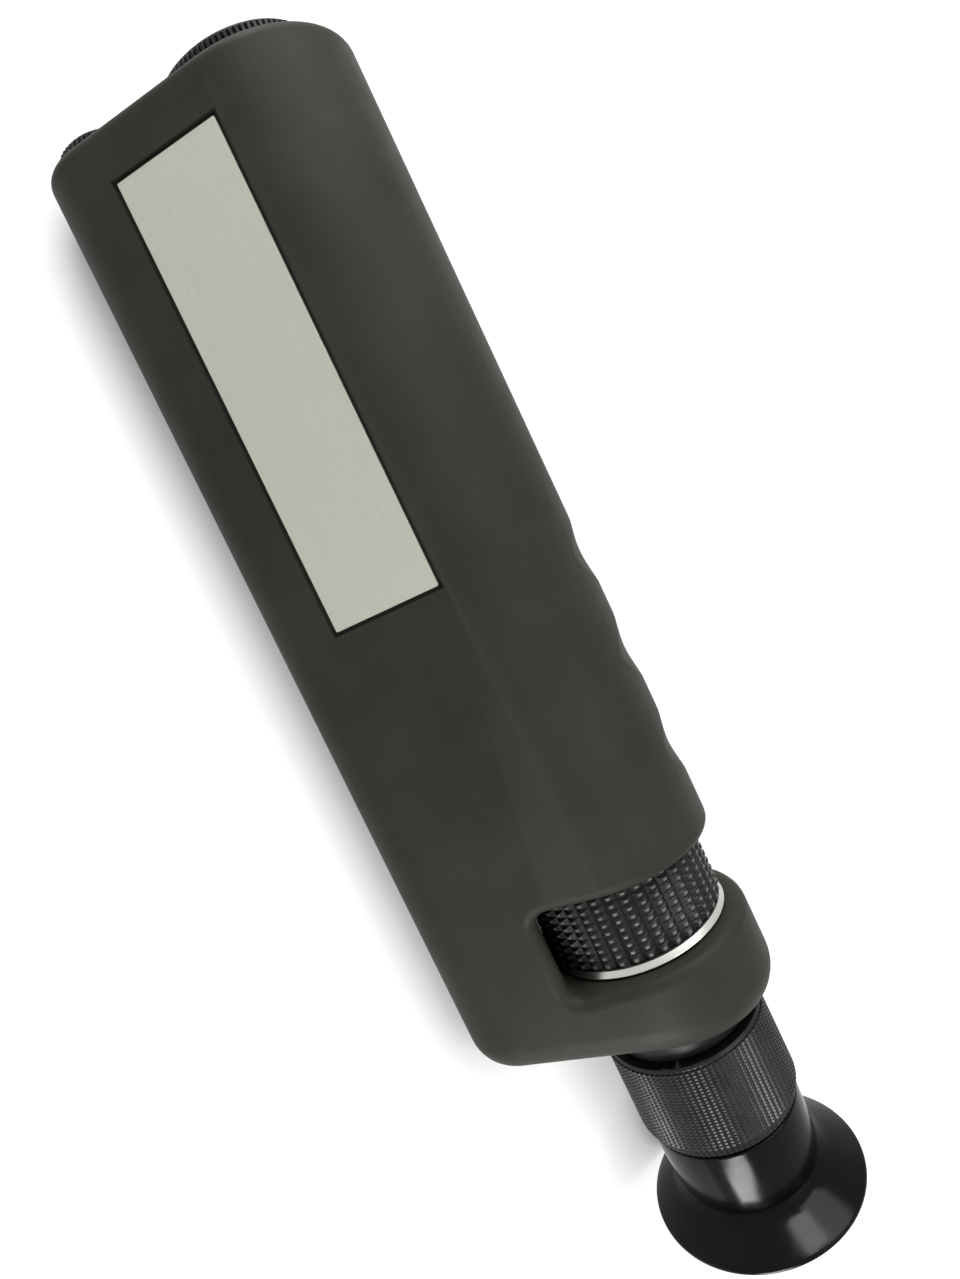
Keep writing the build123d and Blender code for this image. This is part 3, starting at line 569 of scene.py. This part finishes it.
def eyepiece_sleeve():
    """Sleeve with a fine knurl that tapers off at the eyecup, and a lip that holds it in."""
    piece = Turned("eyepiece_sleeve")
    lip_bore = 11.08 * MM
    lip_end = piece.start + 1.8 * MM
    front = piece.radius - 0.55 * MM
    front_end = piece.start + 0.5 * MM
    taper_start = piece.end - 1.8 * MM
    taper_drop = 0.8 * MM
    core = piece.radius - SLEEVE_KNURL_DEPTH - CORE_DROP
    piece.turn(eased((
        (piece.start, lip_bore, EDGE), (piece.start, front, 0.2 * MM),
        (front_end, core, 0), (taper_start, core, 0),
        (piece.end, core - taper_drop + 0.1 * MM, EDGE), (piece.end, RUNNING_BORE, EDGE),
        (lip_end, RUNNING_BORE, 0), (lip_end, lip_bore, 0))))
    first = piece.start + 0.75 * MM
    last = piece.end - 0.12 * MM
    borders = evenly(first, last, round((last - first) / SLEEVE_ROW_PITCH))
    radii = []
    for x in borders:
        share = max(0.0, x - taper_start) / (piece.end - taper_start)
        radii.append(piece.radius - share * taper_drop)
    piece.knurl(borders, radii, SLEEVE_COLUMNS, SLEEVE_KNURL_DEPTH, SLEEVE_NOTCH, SLEEVE_LANDS,
                RUNNING_BORE + 0.3 * MM)
    piece.finish("eyepiece_sleeve_knurled", "knurled_black", "eyepiece_sleeve", 20)


def adapter_nut():
    """Cup-shaped nut with straight ribs, open round the adapter's hub."""
    piece = Turned("adapter_nut")
    hub_bore = 6.08 * MM
    thread = 11.58 * MM
    floor = piece.start + 1.4 * MM
    bevel_end = piece.start + 0.4 * MM
    core = piece.radius - NUT_KNURL_DEPTH - CORE_DROP
    piece.turn(eased((
        (piece.start, hub_bore, 0.25 * MM), (piece.start, core - 0.15 * MM, 0.3 * MM),
        (bevel_end, core, EDGE), (piece.end, core, EDGE),
        (piece.end, thread, EDGE), (floor, thread, 0), (floor, hub_bore, EDGE))))
    piece.knurl([bevel_end, piece.end - 0.15 * MM], [piece.radius] * 2, NUT_COLUMNS,
                NUT_KNURL_DEPTH, NUT_KNURL_DEPTH, STRAIGHT_LANDS, thread + 0.3 * MM)
    piece.finish("adapter_nut_knurled", "black_aluminium", "adapter_nut", 25)


def battery_cap():
    """Ribbed head on a plug that is hollow for the contact's spring."""
    piece = Turned("battery_cap")
    axis = 0.02 * MM
    plug = 5.3 * MM
    spring_bore = 4.45 * MM
    pocket = piece.start + 6.6 * MM
    head_end = piece.start + 4.4 * MM
    core = piece.radius - CAP_KNURL_DEPTH - CORE_DROP
    piece.turn(eased((
        (piece.start, axis, 0), (piece.start, core - 0.3 * MM, 0.5 * MM),
        (piece.start + 0.6 * MM, core, EDGE), (head_end, core, EDGE), (head_end, plug, 0),
        (piece.end, plug, 0.2 * MM), (piece.end, spring_bore, 0), (pocket, spring_bore, 0),
        (pocket, axis, 0))))
    piece.knurl([piece.start + 0.5 * MM, head_end - 0.1 * MM], [piece.radius] * 2, CAP_COLUMNS,
                CAP_KNURL_DEPTH, CAP_KNURL_DEPTH, STRAIGHT_LANDS, plug)
    piece.finish("battery_cap_knurled", "black_aluminium", "battery_cap", 25)


def eyecup():
    """Neck, step and flare, with the lens's bore and the flared mouth inside."""
    piece = Turned("eyecup")
    rim = piece.end
    thread = 10.88 * MM
    tube = 12.0 * MM
    shoulder = rim - 15.5 * MM
    neck = 12.6 * MM
    neck_end = 12.2 * MM
    step = rim - 5.1 * MM
    step_foot = 11.86 * MM
    flare_start = 13.0 * MM
    flare_end = 16.1 * MM
    mouth = 16.5 * MM
    mouth_inside = 14.6 * MM
    lens_bore = 10.0 * MM
    lens_seat = rim - 17.67 * MM
    seat_end = lens_seat - 2.5 * MM
    seat_bore = 8.6 * MM
    piece.turn(eased((
        (piece.start, thread, 0), (piece.start, tube, 0.2 * MM), (shoulder, tube, 0),
        (shoulder, neck, 0.35 * MM), (step, neck_end, 0.18 * MM),
        (step + 0.12 * MM, step_foot, EDGE), (step + 1.5 * MM, flare_start, 1.0 * MM),
        (rim - 1.6 * MM, flare_end, 1.0 * MM), (rim - 0.6 * MM, piece.radius, 0.25 * MM),
        (rim, piece.radius, 0.2 * MM), (rim, mouth, 0.3 * MM),
        (rim - 1.5 * MM, mouth_inside, 0.8 * MM), (step, lens_bore, 0.4 * MM),
        (lens_seat, lens_bore, 0), (lens_seat, seat_bore, EDGE), (seat_end, seat_bore, 0),
        (seat_end, thread, 0))), steps=2 * ROUND_STEPS)
    piece.finish("eyecup_turned", "gloss_black", "eyecup", 40)


def ferrule_adapter():
    """Bored tip and hub of bright metal, with the flange that the nut draws in."""
    piece = Turned("ferrule_adapter")
    bore = 1.26 * MM
    tip = 3.2 * MM
    tip_foot = 4.1 * MM
    tip_end = piece.start + 1.6 * MM
    hub = 6.0 * MM
    hub_start = piece.start + 1.7 * MM
    flange = 11.0 * MM
    flange_start = piece.start + 3.18 * MM
    flange_end = piece.start + 5.92 * MM
    piece.turn(eased((
        (piece.start, bore, 0.15 * MM), (piece.start, tip, 0.3 * MM),
        (tip_end, tip_foot, 0.2 * MM), (hub_start, hub, 0.2 * MM), (flange_start, hub, 0),
        (flange_start, flange, EDGE), (flange_end, flange, EDGE), (flange_end, hub, 0),
        (piece.end, hub, 0.2 * MM), (piece.end, bore, EDGE))))
    piece.finish("ferrule_adapter_turned", "adapter_metal", "ferrule_adapter", 35)


# The plate

def plate_tilt(spread, rise):
    """Tilt of the plate about X, as the box that holds its section asks for."""
    def misfit(angle):
        across = PLATE_WIDTH * cos(angle) + PLATE_THICKNESS * sin(angle)
        up = PLATE_WIDTH * sin(angle) + PLATE_THICKNESS * cos(angle)
        return abs(across - spread) + abs(up - rise)

    return min((radians(tenths * 0.1) for tenths in range(900)), key=misfit)


def plate_outline(half_length, half_width, corner):
    """Rectangle with rounded corners, anticlockwise."""
    points = []
    for sign_x, sign_y, turn in ((1, 1, 0), (-1, 1, 90), (-1, -1, 180), (1, -1, 270)):
        for step in range(PLATE_CORNER_STEPS + 1):
            angle = radians(turn + 90 * step / PLATE_CORNER_STEPS)
            points.append((
                sign_x * (half_length - corner) + corner * cos(angle),
                sign_y * (half_width - corner) + corner * sin(angle)))
    return points


def name_plate():
    """Bare plate with rounded corners and a fine bevel round its face, lying in its recess."""
    spots = [vertex.co.copy() for vertex in nodes["name_plate"].data.vertices]
    centre = sum(spots, Vector()) / len(spots)
    low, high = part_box("name_plate")
    tilt = plate_tilt(high.y - low.y, high.z - low.z)
    along = Vector((1, 0, 0))
    across = Vector((0, cos(tilt), sin(tilt)))
    normal = Vector((0, -sin(tilt), cos(tilt)))
    half = PLATE_THICKNESS / 2
    verts, faces, rings = [], [], []
    for inset, height in ((0.0, -half), (0.0, half - PLATE_BEVEL), (PLATE_BEVEL, half)):
        rings.append([])
        outline = plate_outline(
            (high.x - low.x) / 2 - inset, PLATE_WIDTH / 2 - inset, PLATE_CORNER - inset)
        for x, y in outline:
            verts.append(centre + along * x + across * y + normal * height)
            rings[-1].append(len(verts) - 1)
    for first, second in zip(rings, rings[1:]):
        for index in range(len(first)):
            after = (index + 1) % len(first)
            faces.append((first[index], first[after], second[after], second[index]))
    faces.append(tuple(rings[-1]))
    faces.append(tuple(reversed(rings[0])))
    mesh = bpy.data.meshes.new("name_plate_bare")
    mesh.from_pydata([tuple(spot) for spot in verts], [], faces)
    mesh.validate()
    dressed("name_plate_bare", mesh, "name_plate", "brushed_plate", "body")


focus_ring()
focus_trim_ring()
eyepiece_sleeve()
adapter_nut()
battery_cap()
eyecup()
ferrule_adapter()
name_plate()


# Table, surroundings, camera and lamps

def seen_directly(tree):
    """Socket that is 1 for what the camera sees, straight or in gloss or through glass."""
    path = add_node(tree, "ShaderNodeLightPath")
    straight_or_gloss = add_node(tree, "ShaderNodeMath", {
        0: path.outputs["Is Camera Ray"], 1: path.outputs["Is Glossy Ray"]}, operation="MAXIMUM")
    seen = add_node(tree, "ShaderNodeMath", {
        0: straight_or_gloss.outputs[0], 1: path.outputs["Is Transmission Ray"]},
        operation="MAXIMUM")
    return seen.outputs[0]


def white_table():
    """Painted table top. What the camera sees of it is lifted to white, less so near the object
    so that it keeps the object's shadow, and hardly in the gap under it, which is painted contact
    shadow."""
    material, tree, place = new_material("white_table")
    cloud = add_node(tree, "ShaderNodeTexNoise", {
        "Vector": place, "Scale": per_size(300), "Detail": 2.0})
    colour = shaded(tree, cloud.outputs["Fac"], 0.3, "b8b8b7", 0.7, "bcbcbb")
    matt = add_node(tree, "ShaderNodeBsdfDiffuse", {"Color": colour})
    away = add_node(tree, "ShaderNodeVectorMath", {0: place}, operation="LENGTH")
    lift = add_node(tree, "ShaderNodeMapRange", {
        "Value": away.outputs["Value"],
        "From Min": 0.14, "From Max": 0.50, "To Min": 0.64, "To Max": 1.0})
    # Ambient occlusion cuts the lift close under the object: painted contact shadow.
    openness = add_node(tree, "ShaderNodeAmbientOcclusion", {"Distance": 12 * MM})
    strength = add_node(tree, "ShaderNodeMath", {
        0: lift.outputs["Result"], 1: openness.outputs["AO"]}, operation="MULTIPLY")
    dark = add_node(tree, "ShaderNodeEmission", {"Strength": 0.0})
    white = add_node(tree, "ShaderNodeEmission", {
        "Color": (1, 1, 1, 1), "Strength": strength.outputs[0]})
    lifted = add_node(tree, "ShaderNodeMixShader", {
        0: seen_directly(tree), 1: dark.outputs[0], 2: white.outputs[0]})
    both = add_node(tree, "ShaderNodeAddShader", {0: matt.outputs[0], 1: lifted.outputs[0]})
    add_node(tree, "ShaderNodeOutputMaterial", {"Surface": both.outputs[0]})
    mesh = bpy.data.meshes.new("table")
    corners = [(x * TABLE_HALF, y * TABLE_HALF, 0)
               for x, y in ((-1, -1), (1, -1), (1, 1), (-1, 1))]
    mesh.from_pydata(corners, [], [(0, 1, 2, 3)])
    mesh.materials.append(material)
    table = bpy.data.objects.new("table", mesh)
    bpy.context.scene.collection.objects.link(table)


def white_surroundings():
    """White to the eye and in mirrors, and a plain dim white as a source of light."""
    world = bpy.data.worlds.new("white_studio")
    bpy.context.scene.world = world
    world.use_nodes = True
    tree = world.node_tree
    tree.nodes.clear()
    light = add_node(tree, "ShaderNodeBackground", {
        "Color": (1, 1, 1, 1), "Strength": AMBIENT_STRENGTH})
    white = add_node(tree, "ShaderNodeBackground", {"Color": (1, 1, 1, 1), "Strength": 1.0})
    either = add_node(tree, "ShaderNodeMixShader", {
        0: seen_directly(tree), 1: light.outputs[0], 2: white.outputs[0]})
    add_node(tree, "ShaderNodeOutputWorld", {"Surface": either.outputs[0]})


def camera():
    """The photograph's viewpoint: close above the plate's side, with the objective end up."""
    lens = bpy.data.cameras.new("viewpoint")
    lens.sensor_fit = "AUTO"
    lens.sensor_width = SENSOR_WIDTH
    lens.lens = FOCAL_LENGTH
    lens.shift_x = SHIFT_RIGHT
    lens.shift_y = SHIFT_UP
    lens.clip_start = 5 * MM
    lens.clip_end = 20.0
    view = bpy.data.objects.new("viewpoint", lens)
    bpy.context.scene.collection.objects.link(view)
    turn = Matrix((CAMERA_RIGHT, -CAMERA_DOWN, -CAMERA_AHEAD)).transposed()
    view.matrix_world = Matrix.Translation(CAMERA_PLACE) @ turn.to_4x4()
    bpy.context.scene.camera = view


def softbox(name, target, direction, distance, width, height, watts):
    """A flat soft lamp, that far from a point and aimed at it."""
    lamp = bpy.data.lights.new(name, "AREA")
    lamp.shape = "RECTANGLE"
    lamp.size = width
    lamp.size_y = height
    lamp.energy = watts
    box = bpy.data.objects.new(name, lamp)
    bpy.context.scene.collection.objects.link(box)
    offset = Vector(direction) * distance
    turn = (-offset).to_track_quat("-Z", "Y").to_matrix().to_4x4()
    box.matrix_world = Matrix.Translation(target + offset) @ turn


white_table()
white_surroundings()
camera()
for lamp in LAMPS:
    softbox(*lamp)
bpy.context.scene.view_settings.view_transform = "Standard"
